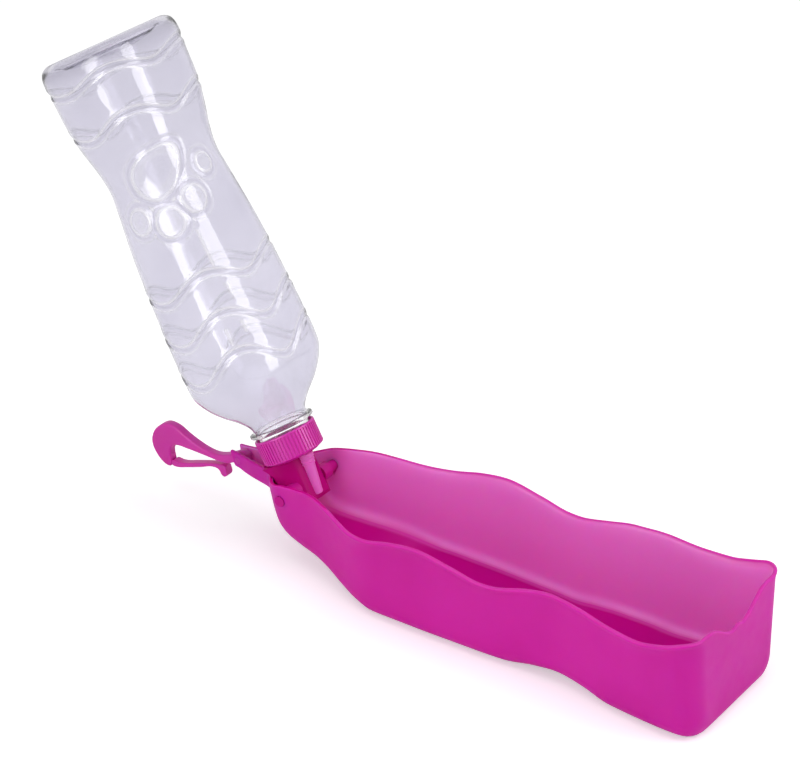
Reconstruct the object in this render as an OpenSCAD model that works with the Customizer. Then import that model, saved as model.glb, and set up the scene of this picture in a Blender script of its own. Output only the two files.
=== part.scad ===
// Travel water bottle for dogs: a squeeze bottle hinged on a drinking trough.
// Millimetres, +Z up. The underside stands on Z = 0 and the trough runs along +X.
// "Hinge frame" means X and Z counted from the hinge axis, Y across.
// "Bottle frame" means x toward the trough side, y across, z toward the bottle base.

/* [Bottle] */
// bottle length from the hinge axis to the base
bottle_len = 223.4; // [205:0.5:240]
// half width of the bottle body across the trough
half_w = 32; // [29:0.5:33.5]
// half depth of the bottle body
half_d = 27.5; // [25:0.5:29]
// corner radius of the bottle body section
body_corner_r = 21; // [14:0.5:23]
// size of the waist compared with the widest part
waist_factor = 0.795; // [0.72:0.005:0.92]
// wall of the blown bottle body
bottle_wall = 0.5; // [0.4:0.05:1.2]
// wall of the neck inside the thread
neck_wall = 1.6; // [1.3:0.1:2.4]
// radius of the support ring under the cap
ring_r = 15.7; // [15:0.1:16.6]
// how far the open bottle leans back from upright
lean = 30.7; // [25:0.1:36]

/* [Cap] */
// radius over the grip ribs of the cap skirt
cap_r = 15.4; // [15:0.1:16]
// wall of the cap skirt
cap_wall = 1.6; // [1.2:0.1:1.9]
// height of the cap skirt
skirt_h = 11.8; // [10:0.1:12.2]
// room for the thread between the neck and the skirt
thread_room = 1.3; // [1.1:0.1:1.8]
// half width of the hinge block under the cap
block_half = 11.5; // [10:0.25:13]
// half width of the stop leg that stands in the tongue
leg_half = 6.2; // [5:0.1:6.3]
// radius of the hinge pins
pin_r = 2.6; // [2:0.1:3]
// half length across both hinge pins, out through the trough walls
pin_half = 22.5; // [22:0.1:24]
// outer radius of the water nozzle
nozzle_r = 2.8; // [2.3:0.1:3.1]
// bore radius of the water nozzle
nozzle_bore_r = 1.6; // [1.2:0.1:1.9]
// thickness of the sealing liner
liner_t = 1.2; // [0.8:0.1:1.4]

/* [Trough] */
// wall of the trough
wall = 1.9; // [1.6:0.1:2.3]
// room between the folded bottle and the trough floor
floor_room = 4.2; // [3.4:0.1:7]
// room between the bottle base and the end wall when folded
end_room = 1.6; // [1.5:0.1:5]
// plan radius of the two far corners
corner_r = 11; // [9:0.5:14]
// how much the end wall leans, outward at the foot
end_lean = 0.05; // [0:0.005:0.06]
// depth of the dip in the rim of the end wall
rim_dip = 9; // [3:0.5:11]

/* [Hook] */
// thickness of the belt hook
hook_t = 5; // [4:0.1:5.4]
// radius of the hook trunnions
hook_pin_r = 1.5; // [1.2:0.1:1.8]
// radius of the hook root
hook_root_r = 4; // [3.4:0.1:4.3]

/* [Fits] */
// radial running clearance of the hinge pins
pin_clear = 0.1; // [0.05:0.01:0.1]
// gap left between two pieces that move past each other
gap = 0.35; // [0.3:0.05:0.5]

/* [Hidden] */

$fa = 5;
$fs = 0.6;

// hinge axis: its X is fixed by the middle of the front flat, its Z by the room under the bottle
pivot_x = -90;
pivot_z = half_d + floor_room + wall;

// change of the driving sizes against the first layout, used to carry the trough along
dw = half_w - 32;
dz = pivot_z - 33.6;

// the neck is as wide as the skirt and the thread leave it
neck_r = cap_r - cap_wall - thread_room;
mouth_r = neck_r - neck_wall;

// cap heights in the bottle frame, from the hinge toward the base
ring_z0 = 29.1;
ring_z1 = 30.8;
skirt_top = ring_z0 - 1.8;
skirt_z = skirt_top - skirt_h;
plate_z = skirt_z - 1.5;
plate_top = skirt_z + 0.3;
liner_top = plate_top + liner_t;
mouth_z = liner_top + gap;

// trough heights and lengths in the hinge frame
te = bottle_len + end_room + wall;
tongue_t = -44;
tongue_floor = -3.3;
foot_z = tongue_floor + gap;
clevis_half = hook_t / 2 + gap;

// hook positions in the hinge frame
hook_x = -37.6;
hook_z = 0.7;
gate_x = -78.1;
gate_z = -15.4;
gate_root_r = 1.7;

// ------------------------------------------------------------------ helpers

// index of the table segment that holds t
function seg(tab, t, i = 0) = (i >= len(tab) - 2 || t <= tab[i + 1][0]) ? i : seg(tab, t, i + 1);

// slope of column k at row i, flat at a turning point so that flats stay flat
function slope(tab, i, k) =
    (i == 0 || i == len(tab) - 1) ? 0
    : (tab[i + 1][k] - tab[i][k]) * (tab[i][k] - tab[i - 1][k]) <= 0 ? 0
    : (tab[i + 1][k] - tab[i - 1][k]) / (tab[i + 1][0] - tab[i - 1][0]);

// smooth value of column k at t
function at(tab, t, k) =
    let (i = seg(tab, t), h = tab[i + 1][0] - tab[i][0], u = (t - tab[i][0]) / h)
    let (m = slope(tab, i, k) * h, n = slope(tab, i + 1, k) * h)
    tab[i][k] * (1 + 2 * u) * (1 - u) * (1 - u) + m * u * (1 - u) * (1 - u)
    + tab[i + 1][k] * u * u * (3 - 2 * u) + n * u * u * (u - 1);

// 0 before a, 1 after b, smooth between
function ease(t, a, b) = let (u = min(1, max(0, (t - a) / (b - a)))) u * u * (3 - 2 * u);

// two triangles between two neighbouring columns of a grid of n points per row
function quad(a, b, c, d) = [[a, b, c], [a, c, d]];

// ------------------------------------------------------------------ bottle

// outer profile: distance to the side, height in the bottle frame
waist = waist_factor;
top_b = bottle_len;
PROFILE = [
    [13.1, 30.2], [13.4, 32.4], [14.6, 35.2], [18.3, 39.5], [23.1, 44], [27.1, 48.8], [30.0, 53.5],
    [31.8, 58], [32.3, 65], [32.2, 76], [32.0, 86], [31.5, 96], [31.1, 105], [30.6, 114],
    [30.0, 123], [29.2, 132], [28.2, 141], [27.2, 150], [33.2 * waist, 159], [27.4, 168.5],
    [29.4, 177.5], [31.3, 187], [32.2, 196], [32.5, 205], [33.0, top_b - 10.5], [33.1, top_b - 7.5],
    [32.7, top_b - 4.4], [31.4, top_b - 1.9], [29.0, top_b - 0.4], [26.4, top_b], [24.2, top_b - 0.6],
    [21.0, top_b - 3.2], [14.0, top_b - 5.2], [6.0, top_b - 6]];
RINGS = len(PROFILE);
SIDES = 36;

// share of the full section shape at a height: a circle at the neck, the rounded box above
function section_share(b) = ease(b, 32, 57);

// wall along the profile, thick at the neck
function wall_at(b) = bottle_wall + 1.2 * (1 - ease(b, 30, 46));

// profile point i moved inward by d along its normal
function moved(i, d) =
    let (a = PROFILE[max(0, i - 1)], c = PROFILE[min(RINGS - 1, i + 1)])
    let (v = c - a, l = norm(v))
    [PROFILE[i][0] - d * v[1] / l, PROFILE[i][1] + d * v[0] / l];

// radius of a rounded box of half sizes hw, hd and corner r in the direction of angle p
function box_r(hw, hd, r, p) =
    let (c = max(0.0001, abs(cos(p))), s = max(0.0001, abs(sin(p))))
    let (cx = hw - r, cy = hd - r, q = c * cx + s * cy)
    hw / c * s <= cy ? hw / c
    : hd / s * c <= cx ? hd / s
    : q + sqrt(q * q - (cx * cx + cy * cy - r * r));

// ring point in the bottle frame for side distance lat, height b, angle p (0 = across)
function ring_pt(lat, b, p, hb) =
    let (m = section_share(hb), k = lat / 33.2)
    let (hw = half_w * k * m + lat * (1 - m))
    let (hd = half_d * k * m + lat * (1 - m))
    let (r = body_corner_r * k * m + 0.98 * lat * (1 - m))
    let (q = box_r(hw, hd, r, p))
    [q * sin(p), q * cos(p), b];

BOTTLE_PTS = concat(
    [for (i = [0 : RINGS - 1], j = [0 : SIDES - 1])
        ring_pt(PROFILE[i][0], PROFILE[i][1], j * 360 / SIDES, PROFILE[i][1])],
    [for (i = [0 : RINGS - 1], j = [0 : SIDES - 1])
        let (q = moved(i, wall_at(PROFILE[i][1])))
        ring_pt(q[0], i == 0 ? PROFILE[0][1] : q[1], j * 360 / SIDES, PROFILE[i][1])],
    [[0, 0, top_b - 6.2], [0, 0, top_b - 6.2 - bottle_wall]]);

function vo(i, j) = i * SIDES + (j % SIDES);
function vi(i, j) = (RINGS + i) * SIDES + (j % SIDES);

BOTTLE_FACES = [
    for (i = [0 : RINGS - 2], j = [0 : SIDES - 1])
        each quad(vo(i, j), vo(i, j + 1), vo(i + 1, j + 1), vo(i + 1, j)),
    for (i = [0 : RINGS - 2], j = [0 : SIDES - 1])
        each quad(vi(i, j), vi(i + 1, j), vi(i + 1, j + 1), vi(i, j + 1)),
    for (j = [0 : SIDES - 1]) each quad(vo(0, j), vi(0, j), vi(0, j + 1), vo(0, j + 1)),
    for (j = [0 : SIDES - 1]) [vo(RINGS - 1, j), vo(RINGS - 1, j + 1), 2 * RINGS * SIDES],
    for (j = [0 : SIDES - 1]) [vi(RINGS - 1, j + 1), vi(RINGS - 1, j), 2 * RINGS * SIDES + 1]];

// puts a shape of the bottle frame in its open place
module in_bottle_frame() {
    translate([pivot_x, 0, pivot_z]) rotate([0, -lean, 0]) children();
}

// neck with the support ring, open at the mouth
module neck() {
    rotate_extrude()
        polygon([[mouth_r, mouth_z], [neck_r - 0.3, mouth_z], [neck_r, mouth_z + 0.4],
            [neck_r, ring_z0 - 0.4], [neck_r + 0.5, ring_z0], [ring_r, ring_z0],
            [ring_r, ring_z1 - 0.3], [ring_r - 0.3, ring_z1], [neck_r, ring_z1],
            [neck_r, 33], [mouth_r, 33]]);
}

module bottle() {
    color([0.84, 0.83, 0.9])
        in_bottle_frame()
            union() {
                polyhedron(points = BOTTLE_PTS, faces = BOTTLE_FACES, convexity = 6);
                neck();
            }
}

// ------------------------------------------------------------------ cap

// skirt with its closed end, a round hole in the plate lets the water to the nozzle
module cap_shell() {
    rotate_extrude()
        polygon([[0, plate_z], [cap_r - 3.6, plate_z], [cap_r, skirt_z], [cap_r, skirt_top - 0.4],
            [cap_r - 0.4, skirt_top], [cap_r - cap_wall, skirt_top], [cap_r - cap_wall, plate_top],
            [0, plate_top]]);
}

// height in the bottle frame of a point at side distance d that stands at height z
function b_of(d, z) = (z - d * sin(lean)) / cos(lean);

// front limb that carries the hinge pins, drawn in the bottle frame (x, z)
module limb() {
    rotate([90, 0, 0])
        linear_extrude(height = 2 * block_half, center = true)
            polygon([[-10.4, plate_z + 0.4], [-8.4, 12.6], [-5.9, 9.8], [-4.2, 3], [-3.4, -6.2],
                [-2.2, -8.2], [0.4, -9.3], [2.6, -8.8], [4, -7.2], [4.9, 8], [8.4, plate_z + 0.4]]);
}

// rear leg, its foot stands on the tongue floor and holds the bottle open
module leg() {
    rotate([90, 0, 0])
        linear_extrude(height = 2 * leg_half, center = true)
            polygon([[-cap_r, skirt_z + 2], [-cap_r, b_of(-cap_r, foot_z)],
                [-cap_r + 5.2, b_of(-cap_r + 5.2, foot_z)],
                [-7, 9.6], [-7, plate_z + 0.5], [-cap_r + 4.4, skirt_z + 2]]);
}

// turns a shape along z onto the nozzle axis
module on_nozzle_axis() {
    translate([5, 0, 7.6]) rotate([0, 10.8, 0]) children();
}

module hinge_pins() {
    rotate([90, 0, 0]) cylinder(r = pin_r, h = 2 * pin_half, center = true);
    for (s = [-1, 1])
        translate([0, s * (block_half + 0.9), 0])
            rotate([90, 0, 0]) cylinder(r = pin_r + 1.4, h = 2, center = true);
}

module screw_cap() {
    color([0.75, 0.05, 0.52])
        in_bottle_frame()
            difference() {
                union() {
                    cap_shell();
                    difference() {
                        union() {
                            limb();
                            leg();
                        }
                        translate([0, 0, plate_top + 20])
                            cylinder(r = 40, h = 40, center = true);
                    }
                    hinge_pins();
                }
                on_nozzle_axis() cylinder(r = nozzle_r, h = 60, center = true);
                on_nozzle_axis()
                    translate([0, 0, 2.2]) cylinder(r = nozzle_r + 0.5, h = 5.2);
            }
}

// flat sealing ring between the cap plate and the mouth
module cap_liner() {
    color([0.93, 0.93, 0.93])
        in_bottle_frame()
            translate([0, 0, plate_top])
                difference() {
                    cylinder(r = cap_r - cap_wall - 0.3, h = liner_t);
                    translate([0, 0, -1]) cylinder(r = mouth_r - 1.1, h = liner_t + 2);
                }
}

// bored tube that pours into the trough, with its collar
module nozzle() {
    color([0.87, 0.3, 0.66])
        in_bottle_frame()
            on_nozzle_axis()
                difference() {
                    union() {
                        translate([0, 0, -13.9]) cylinder(r = nozzle_r, h = 21.5);
                        translate([0, 0, 2.2]) cylinder(r = nozzle_r + 0.5, h = 4.2);
                    }
                    cylinder(r = nozzle_bore_r, h = 60, center = true);
                }
}

// ------------------------------------------------------------------ trough

// section rows: t, half width at the rim, rim height, half width at the floor, floor height,
// floor fillet, outward lip of the rim
SECTIONS = [
    [-44, 4.5, 4.8, 3.9, -3.8, 2, 0.1],
    [-36, 5.6, 4.8, 4.9, -4.7, 2.2, 0.1],
    [-24, 8, 4.8, 7.2, -5.1, 2.6, 0.2],
    [-17, 9.6, 4.9, 9, -5.2, 3, 0.2],
    [-14, 11.6, 5, 10.6, -5.5, 3.6, 0.3],
    [-11, 15.8, 5.3, 12.6, -8.2, 5, 0.4],
    [-7, 20, 6, 15.2, -14, 7, 0.5],
    [-3, 22.2, 7.2, 17.4, -19, 8.6, 0.5],
    [2, 23, 8.6, 19, -22, 9, 0.5],
    [10, 24.2, 10, 20.6, -23.9, 9, 0.6],
    [20, 26.1, 11, 23, -25.1, 9, 0.8],
    [30, 29.5, 9.8, 26.2, -26.7, 8.5, 1],
    [40, 33.6, 7.8, 29.8, -29.2, 8, 1.2],
    [49, 37, 6.8, 32.4, -31.8, 8, 1.3],
    [59, 39, 7.6, 34.2, -33.6, 8, 1.3],
    [72, 39.2, 10.8, 34.4, -33.6, 8, 1.4],
    [86, 39.1, 12.6, 34.4, -33.6, 8, 1.4],
    [104, 38.7, 9.9, 33.8, -33.6, 8, 1.3],
    [120, 38.2, 7, 33.2, -33.6, 8, 1.3],
    [128, 37.5, 7.6, 32.6, -33.6, 8, 1.2],
    [142, 36.2, 11.4, 31.4, -31.6, 8, 1.1],
    [155, 36.7, 13.8, 30.8, -30.4, 8, 1.1],
    [169, 38.7, 13.5, 32.4, -31.4, 8, 1.2],
    [184, 40.6, 11.3, 35, -33.6, 8, 1.4],
    [199, 42.4, 10.6, 36.6, -33.6, 8, 1.6],
    [212, 42.8, 13, 37.4, -33.6, 8, 1.8],
    [222, 42.4, 15.9, 37.4, -33.6, 8, 2],
    [232, 42.4, 16.3, 37.4, -33.6, 8, 2]];

// stations along the sides, the far corners follow their arc
SIDE_T = [-44, -39, -33, -28, -23.5, -20, -17, -15, -13.3, -11.8, -10.3, -8.8, -7.2, -5.6, -3.8, -1.6,
    1.4, 5, 9, 14, 20, 26, 32, 38, 43, 48, 53, 59, 65, 71, 77, 86, 95, 104, 112, 120, 127, 134, 141,
    148, 155, 162, 169, 176, 183, 190, 198, 206];
ARC = [0, 22.5, 45, 67.5, 90];
NS = len(SIDE_T) + len(ARC);
U = 19;

// table position of a place t, so that the back part stretches with the bottle
function row_t(t) = t < 30 ? t : 30 + (t - 30) * (226.9 - 30) / (te - 30);

// inverse, used to place the stations
function true_t(t) = t < 30 ? t : 30 + (t - 30) * (te - 30) / (226.9 - 30);

function t_of(k, in) =
    k < len(SIDE_T) ? true_t(SIDE_T[k])
    : te - corner_r + (corner_r - (in ? wall : 0)) * sin(ARC[k - len(SIDE_T)]);

// how much the arc of the corner pulls the wall in at t
function pull(t, in) =
    let (r = corner_r - (in ? wall : 0), u = max(0, t - (te - corner_r)))
    r - sqrt(max(0, r * r - u * u));

// rise of the floor into the end wall
function floor_rise(t, in) =
    let (r = 6 - (in ? wall : 0), u = max(0, t - (te - 6)))
    r - sqrt(max(0, r * r - u * u));

// slope of a column, for a wall of even thickness
function rate(t, k) = (at(SECTIONS, t + 0.6, k) - at(SECTIONS, t - 0.6, k)) / 1.2;
function thick(t, k) = wall * sqrt(1 + pow(min(1.9, abs(rate(row_t(t), k))), 2));

// half of the U section at t as [y, z] from the rim to the floor middle
function half_u(t, in) =
    let (q = row_t(t), fol = ease(t, 8, 48))
    let (a = in ? 1 : 0, tw = a * thick(t, 1), tb = a * thick(t, 3), tf = a * thick(t, 4))
    let (zr = at(SECTIONS, q, 2), lip = at(SECTIONS, q, 6))
    let (wt = at(SECTIONS, q, 1) + dw * fol - tw - pull(t, in))
    let (wb = at(SECTIONS, q, 3) + dw * fol - tb - pull(t, in))
    let (zb = at(SECTIONS, q, 4) - dz * fol + tf + floor_rise(t, in))
    let (r = min(max(0.4, at(SECTIONS, q, 5) - a * wall), wb * 0.8))
    let (p2 = [wt - lip, zr - 3.4], v = [wb, zb] - p2, l = norm(v), u = v / l)
    let (al = acos(u[0]), tl = r / tan(al / 2), th = atan2(u[0], -u[1]))
    [[wt, zr], [wt - 0.45 * lip, zr - 1.1], p2, p2 + u * (l - tl) * 0.5,
        for (j = [0 : 4])
            let (g = th + (-90 - th) * j / 4)
            [wb - tl + r * cos(g), zb + r + r * sin(g)],
        [0, zb]];

// lean of the open end of the tongue
function lean_t(t) = 0.32 * max(0, min(1, (-24 - t) / 20));

// all points of one skin, U points per station
function skin(in) = [
    for (k = [0 : NS - 1])
        let (t = t_of(k, in), h = half_u(t, in), s = lean_t(t))
        for (j = [0 : U - 1])
            let (p = j < 10 ? h[j] : h[18 - j], y = j < 10 ? p[0] : -p[0])
            [pivot_x + t + 4.2 - 4.2 * ease(t, -44, -26) - s * (p[1] + 3.8)
                - end_lean * p[1] * ease(t, te - 40, te - corner_r), y, pivot_z + p[1]]];

OUTER = skin(false);
INNER = skin(true);

// dipped edge and helper points across the end wall, m points without the two ends
DIP = 13;
function dip_y(i, w) = w * cos(180 * (i + 1) / (DIP + 1));
function dip_z(y, w, z) = z - rim_dip * (1 - ease(abs(y) / w, 0.3, 1));
function edge(skin_pts, in) =
    let (a = skin_pts[(NS - 1) * U], w = a[1], z = a[2])
    [for (i = [0 : DIP - 1])
        let (zi = dip_z(dip_y(i, w), w, z))
        [a[0] + end_lean * (z - zi), dip_y(i, w), zi]];
function low(skin_pts) =
    let (a = skin_pts[(NS - 1) * U + 3], w = a[1])
    [for (i = [0 : DIP - 1]) [a[0], dip_y(i, w), a[2]]];

TROUGH_PTS = concat(OUTER, INNER, edge(OUTER), low(OUTER), edge(INNER), low(INNER));
O1 = NS * U;
E0 = 2 * NS * U;

function so(k, j) = k * U + j;
function si(k, j) = O1 + k * U + j;

// ids across the end wall from the +Y corner to the -Y corner
function top_ids(n) = [n * O1 + so(NS - 1, 0), for (i = [0 : DIP - 1]) E0 + n * 2 * DIP + i,
    n * O1 + so(NS - 1, 18)];
function low_ids(n) = [n * O1 + so(NS - 1, 3), for (i = [0 : DIP - 1]) E0 + n * 2 * DIP + DIP + i,
    n * O1 + so(NS - 1, 15)];

// end wall of skin n as triangles seen from +X
function end_wall(n) =
    let (a = top_ids(n), b = low_ids(n), s = n * O1 + (NS - 1) * U)
    let (c = concat([for (j = [10 : 14]) s + j], [for (i = [DIP + 1 : -1 : 0]) b[i]],
        [for (j = [4 : 8]) s + j]))
    concat(
        [[a[0], s + 1, a[1]], [s + 1, s + 2, a[1]], [s + 2, b[0], a[1]], [b[0], b[1], a[1]]],
        [for (i = [1 : DIP - 1]) each [[a[i], b[i], b[i + 1]], [a[i], b[i + 1], a[i + 1]]]],
        [[a[DIP], b[DIP], b[DIP + 1]], [a[DIP], b[DIP + 1], s + 16], [a[DIP], s + 16, s + 17],
            [a[DIP], s + 17, a[DIP + 1]]],
        [for (i = [0 : len(c) - 2]) [s + 9, c[i], c[i + 1]]]);

function flip(f) = [f[0], f[2], f[1]];

TROUGH_FACES = [
    for (k = [0 : NS - 2], j = [0 : U - 2])
        each quad(so(k, j), so(k + 1, j), so(k + 1, j + 1), so(k, j + 1)),
    for (k = [0 : NS - 2], j = [0 : U - 2])
        each quad(si(k, j), si(k, j + 1), si(k + 1, j + 1), si(k + 1, j)),
    for (j = [0 : U - 2]) each quad(so(0, j), so(0, j + 1), si(0, j + 1), si(0, j)),
    for (k = [0 : NS - 2]) each quad(so(k, 0), si(k, 0), si(k + 1, 0), so(k + 1, 0)),
    for (k = [0 : NS - 2]) each quad(so(k, 18), so(k + 1, 18), si(k + 1, 18), si(k, 18)),
    for (f = end_wall(0)) flip(f),
    for (f = end_wall(1)) f,
    let (a = top_ids(0), b = top_ids(1))
        for (i = [0 : DIP]) each quad(a[i], b[i], b[i + 1], a[i + 1])];

module trough() {
    color([0.82, 0.2, 0.62])
        difference() {
            polyhedron(points = TROUGH_PTS, faces = [for (f = TROUGH_FACES) flip(f)], convexity = 8);
            translate([pivot_x, 0, pivot_z])
                rotate([90, 0, 0]) cylinder(r = pin_r + pin_clear, h = 60, center = true);
            translate([pivot_x + hook_x, 0, pivot_z + hook_z])
                rotate([90, 0, 0]) cylinder(r = hook_pin_r + pin_clear, h = 20, center = true);
            translate([pivot_x + hook_x + hook_root_r + gap - 20, -clevis_half, pivot_z - 12])
                cube([20, 2 * clevis_half, 24]);
        }
}

// ------------------------------------------------------------------ hook

// flat outline of the hook with its belt window, in the hinge frame (x, z)
module hook_outline() {
    difference() {
        union() {
            translate([hook_x, hook_z]) circle(r = hook_root_r);
            polygon([[-37.6, 4.6], [-41.4, 2.6], [-45.9, 0.3], [-50, -1.3], [-53.6, -2], [-58.6, -1.7],
                [-64.3, -0.3], [-71.4, 2.3], [-76, 4.5], [-79.4, 5.2], [-82, 5.2], [-84.4, 4.4],
                [-87.4, 2.1], [-89.7, -0.4], [-91.2, -3.4], [-91.8, -6.7], [-91.2, -9.9],
                [-89.6, -12.8], [-87.3, -15.4], [-84.9, -17.1], [-82.4, -18], [-80.4, -18.1],
                [gate_x, -17.6], [gate_x, -13.2], [-79.4, -11], [-79.8, -8.2], [-79, -6],
                [-77.1, -5], [-69.9, -4.8], [-61.9, -4.9], [-55.9, -5.1], [-49.9, -5.3],
                [-45.4, -4.6], [-41.6, -2.9], [-38.4, -3.2]]);
        }
        translate([gate_x, gate_z]) circle(r = gate_root_r + gap);
    }
}

// spring gate outline, its round root turns at the big end
module gate_outline() {
    polygon(concat(
        [for (a = [60 : 12 : 300]) [gate_x + gate_root_r * cos(a), gate_z + gate_root_r * sin(a)]],
        [[-69.8, -14.9], [-62.4, -12.3], [-53.5, -9.3], [-50.8, -9.9], [-49.3, -12],
            [-47.8, -12.6], [-46.6, -11.9], [-46, -10.6], [-46.5, -8.4], [-47.3, -6.9],
            [-48.9, -6.6], [-52.3, -7.2], [-57.9, -8.7], [-65.8, -11.2], [-74.8, -13.9]]));
}

module in_hook_place() {
    translate([pivot_x, 0, pivot_z]) rotate([90, 0, 0]) children();
}

module hook() {
    color([0.8, 0.16, 0.6]) {
        in_hook_place()
            linear_extrude(height = hook_t, center = true) hook_outline();
        in_hook_place()
            translate([hook_x, hook_z, 0])
                cylinder(r = hook_pin_r, h = 9.6, center = true);
    }
}

module hook_gate() {
    color([0.8, 0.16, 0.6])
        in_hook_place()
            linear_extrude(height = hook_t, center = true) gate_outline();
}

bottle();
screw_cap();
cap_liner();
nozzle();
trough();
hook();
hook_gate();
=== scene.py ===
# %% [markdown]
# A travel water bottle for dogs, open and ready to drink from: a clear squeeze bottle stands
# in a ribbed magenta cap that is hinged on a long trough, and a belt hook swings at the hinge.
# The CAD model is loaded first as a fixed frame. Nothing in this lesson changes its size: it
# gives every part the rounded edges, reliefs and finishes that the plain solids don't have.

# %% Load the frame
import bpy
import math
from mathutils import Matrix, Vector


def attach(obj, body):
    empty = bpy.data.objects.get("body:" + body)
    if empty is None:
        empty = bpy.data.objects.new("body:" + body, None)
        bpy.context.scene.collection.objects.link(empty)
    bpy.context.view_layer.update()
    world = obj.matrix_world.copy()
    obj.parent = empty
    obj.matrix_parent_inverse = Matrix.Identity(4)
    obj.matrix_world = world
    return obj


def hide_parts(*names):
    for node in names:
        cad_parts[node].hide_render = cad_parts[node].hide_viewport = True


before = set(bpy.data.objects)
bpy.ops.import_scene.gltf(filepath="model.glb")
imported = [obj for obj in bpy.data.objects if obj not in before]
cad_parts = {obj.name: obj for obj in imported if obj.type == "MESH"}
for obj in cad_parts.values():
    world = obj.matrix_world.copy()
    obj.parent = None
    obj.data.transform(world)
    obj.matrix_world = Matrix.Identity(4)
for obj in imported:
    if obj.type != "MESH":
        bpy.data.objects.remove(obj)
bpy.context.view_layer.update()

# %% [markdown]
# The parts are easiest to think of in two places. The hinge pin is the middle of everything:
# the trough and the hook are measured from it. The bottle leans back by 30.7 degrees, so its
# parts are drawn upright along their own axis and then leaned over. Two small helpers turn
# those millimetres into metres in the shared frame, and matrices do it for a whole mesh.

# %% Two places to measure from
HINGE = (-90.0, 33.6)
LEAN = math.radians(30.7)


def at_hinge(x, y, z):
    return Vector((HINGE[0] + x, y, HINGE[1] + z)) / 1000


def at_bottle(x, y, z):
    return at_hinge(x * math.cos(LEAN) - z * math.sin(LEAN), y,
                    x * math.sin(LEAN) + z * math.cos(LEAN))


BOTTLE_PLACE = Matrix.Translation(at_hinge(0, 0, 0)) @ Matrix.Rotation(-LEAN, 4, "Y")
TO_BOTTLE = BOTTLE_PLACE.inverted()
MILLIMETRES = Matrix.Scale(0.001, 4)
print("hinge pin at", tuple(round(v, 4) for v in at_hinge(0, 0, 0)))

# %% [markdown]
# An operator works on everything that is selected, so each step starts from nothing. These
# helpers make one piece active, pick faces or edges by their place for a step in edit mode,
# apply a modifier, give each point of a piece a number for its finish to read, and put a
# finished piece on its body.

# %% Helpers for edit mode and modifiers


def nothing():
    bpy.ops.object.select_all(action="DESELECT")


def only(obj):
    nothing()
    obj.select_set(True)
    bpy.context.view_layer.objects.active = obj


def pick(obj, faces=None, edges=None, verts=None):
    """Selects in edit mode what passes the test, and leaves edit mode on."""
    only(obj)
    bpy.ops.object.mode_set(mode="EDIT")
    mode = "FACE" if faces else "EDGE" if edges else "VERT"
    bpy.ops.mesh.select_mode(type=mode)
    bpy.ops.mesh.select_all(action="DESELECT")
    bpy.ops.object.mode_set(mode="OBJECT")
    me = obj.data
    if faces:
        for f in me.polygons:
            f.select = bool(faces(f))
    if edges:
        for e in me.edges:
            e.select = bool(edges(me.vertices[e.vertices[0]].co, me.vertices[e.vertices[1]].co))
    if verts:
        for v in me.vertices:
            v.select = bool(verts(v.co))
    bpy.ops.object.mode_set(mode="EDIT")


def leave():
    bpy.ops.object.mode_set(mode="OBJECT")


def tidy_shell(obj, dist):
    """Merges points closer than dist and turns all faces outward."""
    pick(obj, verts=lambda c: True)
    bpy.ops.mesh.remove_doubles(threshold=dist)
    bpy.ops.mesh.normals_make_consistent(inside=False)
    leave()


def modify(obj, kind, **settings):
    only(obj)
    m = obj.modifiers.new(kind.title(), kind)
    for k, v in settings.items():
        setattr(m, k, v)
    bpy.ops.object.modifier_apply(modifier=m.name)


def smooth(obj, angle):
    only(obj)
    bpy.ops.object.shade_smooth_by_angle(angle=math.radians(angle))


def place(obj, matrix):
    """Puts a piece where it belongs by moving its mesh, so the object stays at the origin."""
    obj.data.transform(matrix)
    obj.matrix_world = Matrix.Identity(4)


def mark(obj, name, values):
    """Gives each point of a piece one number under a name that a finish reads."""
    numbers = obj.data.attributes.new(name, "FLOAT", "POINT")
    numbers.data.foreach_set("value", values)


def join(name, parts):
    nothing()
    for p in parts:
        p.select_set(True)
    bpy.context.view_layer.objects.active = parts[0]
    bpy.ops.object.join()
    parts[0].name = name
    parts[0].data.name = name
    return parts[0]


def seat(obj, body, slot, material, *nodes):
    """Gives a piece its finish and its body, and hides the CAD nodes that it stands for."""
    obj.data.materials.clear()
    obj.data.materials.append(material)
    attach(obj, body)
    if nodes:
        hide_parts(*nodes)
    tris = sum(len(f.vertices) - 2 for f in obj.data.polygons)
    print(obj.name, "rides on", body, "with", tris, "triangles")


# %% [markdown]
# The camera comes first, because every later choice is judged through it. It stands where the
# photograph was taken from: a long lens, above the trough, looking along it from the near side.

# %% Camera
CAMERA_AT = (0.57033, -0.89842, 0.68488)
CAMERA_LENS = 124.8
cam_data = bpy.data.cameras.new("camera")
cam_data.lens = CAMERA_LENS
cam_data.sensor_width = 36
cam_data.clip_start = 0.05
cam = bpy.data.objects.new("camera", cam_data)
bpy.context.scene.collection.objects.link(cam)
look = Vector((-0.49446, 0.72880, -0.47368)).normalized()
side = Vector((0.82297, 0.56780, 0.01458)).normalized()
rise = side.cross(look)
cam.matrix_world = Matrix((
    (side.x, rise.x, -look.x, CAMERA_AT[0]),
    (side.y, rise.y, -look.y, CAMERA_AT[1]),
    (side.z, rise.z, -look.z, CAMERA_AT[2]),
    (0, 0, 0, 1)))
bpy.context.scene.camera = cam

# %% [markdown]
# The sky, the floor and every finish are built from nodes. One helper fills the sockets of a
# node, with a value or with what feeds it, one adds a node, and one does sums. The last one
# tells which kind of ray is asking, which is how a studio looks white without more light.

# %% Helpers for nodes


def feed(tree, node, inputs):
    """Sets each socket to its value, or links it to the output that feeds it."""
    for socket, value in inputs.items():
        if isinstance(value, bpy.types.NodeSocket):
            tree.links.new(value, node.inputs[socket])
        else:
            node.inputs[socket].default_value = value


def add_node(tree, kind, inputs, **settings):
    node = tree.nodes.new("ShaderNode" + kind)
    for setting, value in settings.items():
        setattr(node, setting, value)
    feed(tree, node, inputs)
    return node


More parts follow.
